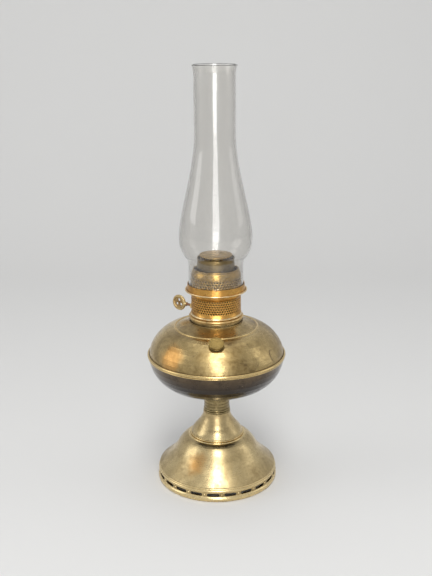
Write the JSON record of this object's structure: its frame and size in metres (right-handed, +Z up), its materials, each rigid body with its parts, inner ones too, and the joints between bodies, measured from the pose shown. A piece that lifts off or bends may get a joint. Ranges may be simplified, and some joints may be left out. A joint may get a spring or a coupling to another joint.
{
  "type": "oil lamp",
  "caption": "Central draught oil lamp: pierced brass foot, round font with side filler, wick raiser with key knob, lift-off perforated gallery and tall bulged glass chimney.",
  "frame": {"origin": "centre of the foot on the surface that the lamp stands on", "axes": "+Z up along the lamp's axis, -Y towards the filler cap, the wick knob to the left and slightly behind"},
  "size_m": [0.1714, 0.1714, 0.5141],
  "materials": {
    "foot_brass": "worn nickel over brass, dulled by tarnish",
    "neck_brass": "worn and darkly tarnished in the turned rings",
    "bowl_brass": "smooth, darkly tarnished",
    "shoulder_brass": "worn nickel over brass, mottled tarnish",
    "cap_brass": "polished by the fingers, rings in relief",
    "gallery_brass": "warm bare brass",
    "diffuser_brass": "heat-darkened brass",
    "tube_brass": "dull brass",
    "knob_brass": "bright rim, dark in the piercings",
    "copper": "coppery brass",
    "shaft_steel": "plain drawn rod",
    "solder": "tinned",
    "wick_cotton": "woven cotton",
    "gasket_leather": "oiled leather",
    "glass": "clear blown glass"
  },
  "bodies": {
    "root": {"foot_ring": "foot_brass", "foot_bell": "foot_brass", "foot_dome": "foot_brass", "neck_stem": "neck_brass", "font_bowl": "bowl_brass", "font_shoulder": "shoulder_brass", "draught_tube": "tube_brass", "tube_flange": "solder", "font_collar": "shoulder_brass", "filler_neck": "shoulder_brass", "burner_base": "copper", "outer_wick_tube": "tube_brass", "raiser_housing": "tube_brass", "shaft_bushing": "copper", "packing_washer": "gasket_leather", "gland_nut": "copper"},
    "raiser": {"raiser_shaft": "shaft_steel", "raiser_pinion": "tube_brass", "raiser_knob": "knob_brass"},
    "wick_set": {"wick": "wick_cotton", "wick_carrier": "tube_brass", "wick_rack": "tube_brass"},
    "gallery": {"gallery_skirt": "gallery_brass", "gallery_coronet": "gallery_brass", "gallery_diffuser": "diffuser_brass", "chimney_springs": "diffuser_brass"},
    "chimney": {"chimney": "glass"},
    "spreader": {"spreader_thimble": "diffuser_brass", "spreader_disc": "diffuser_brass"},
    "gasket": {"filler_gasket": "gasket_leather"},
    "cap": {"filler_cap": "cap_brass"}
  },
  "joints": [
    {"name": "raiser_turn", "type": "hinge", "parent": "root", "child": "raiser", "pos_m": [0, 0, 0.2207], "axis": [0.788, -0.6157, 0], "range_deg": [-143.3, 86]},
    {"name": "wick_lift", "type": "slide", "parent": "root", "child": "wick_set", "axis": [0, 0, 1], "range_m": [-0.01, 0.006]},
    {"name": "gallery_lift", "type": "slide", "parent": "root", "child": "gallery", "axis": [0, 0, 1], "range_m": [0, 0.08]},
    {"name": "chimney_lift", "type": "slide", "parent": "gallery", "child": "chimney", "axis": [0, 0, 1], "range_m": [0, 0.05]},
    {"name": "spreader_lift", "type": "slide", "parent": "root", "child": "spreader", "axis": [0, 0, 1], "range_m": [0, 0.03]},
    {"name": "cap_lift", "type": "slide", "parent": "root", "child": "gasket", "axis": [0, -0.4776, 0.8786], "range_m": [0, 0.00305]},
    {"name": "cap_turn", "type": "hinge", "parent": "gasket", "child": "cap", "pos_m": [0, -0.06253, 0.19823], "axis": [0, -0.4776, 0.8786], "range_deg": [0, 720]}
  ],
  "couplings": [
    {"joint": "raiser_turn", "follows": "wick_lift", "rad_per_m": 250},
    {"joint": "cap_lift", "follows": "cap_turn", "m_per_rad": 0.00023873}
  ]
}
